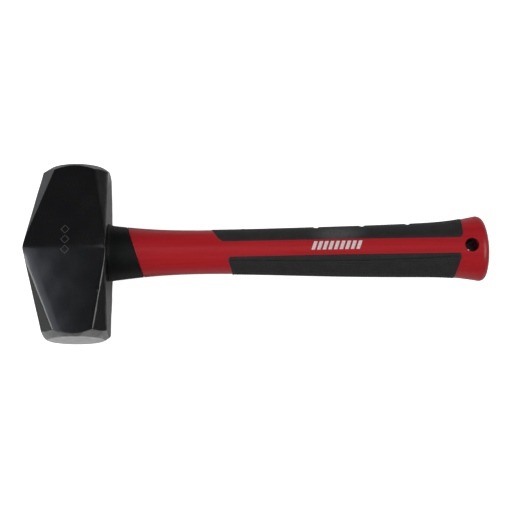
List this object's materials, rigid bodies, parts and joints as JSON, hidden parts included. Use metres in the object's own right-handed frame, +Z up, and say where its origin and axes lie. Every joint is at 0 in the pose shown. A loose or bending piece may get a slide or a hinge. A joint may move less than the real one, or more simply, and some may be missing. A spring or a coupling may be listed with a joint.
{
  "type": "lump hammer",
  "caption": "Double-faced forged lump hammer with a fibreglass-cored moulded handle, soft grip panels and a hang hole in the butt.",
  "frame": {"origin": "middle of the bounding box on the surface that the lower cheek ridge lies on", "axes": "+X along the handle from the head towards the butt, +Y along the head from strike face to strike face, +Z up, square to the cheeks"},
  "size_m": [0.2786, 0.1054, 0.05],
  "materials": {
    "head_steel": "gloss",
    "rod_fibreglass": "satin",
    "bond_epoxy": "gloss",
    "collar_black": "satin",
    "jacket_red": "satin",
    "grip_black": "matte"
  },
  "bodies": {
    "root": {"head": "head_steel", "fibreglass_rod": "rod_fibreglass", "epoxy_bond": "bond_epoxy", "collar": "collar_black", "jacket": "jacket_red", "upper_grip": "grip_black", "lower_grip": "grip_black"}
  },
  "joints": []
}
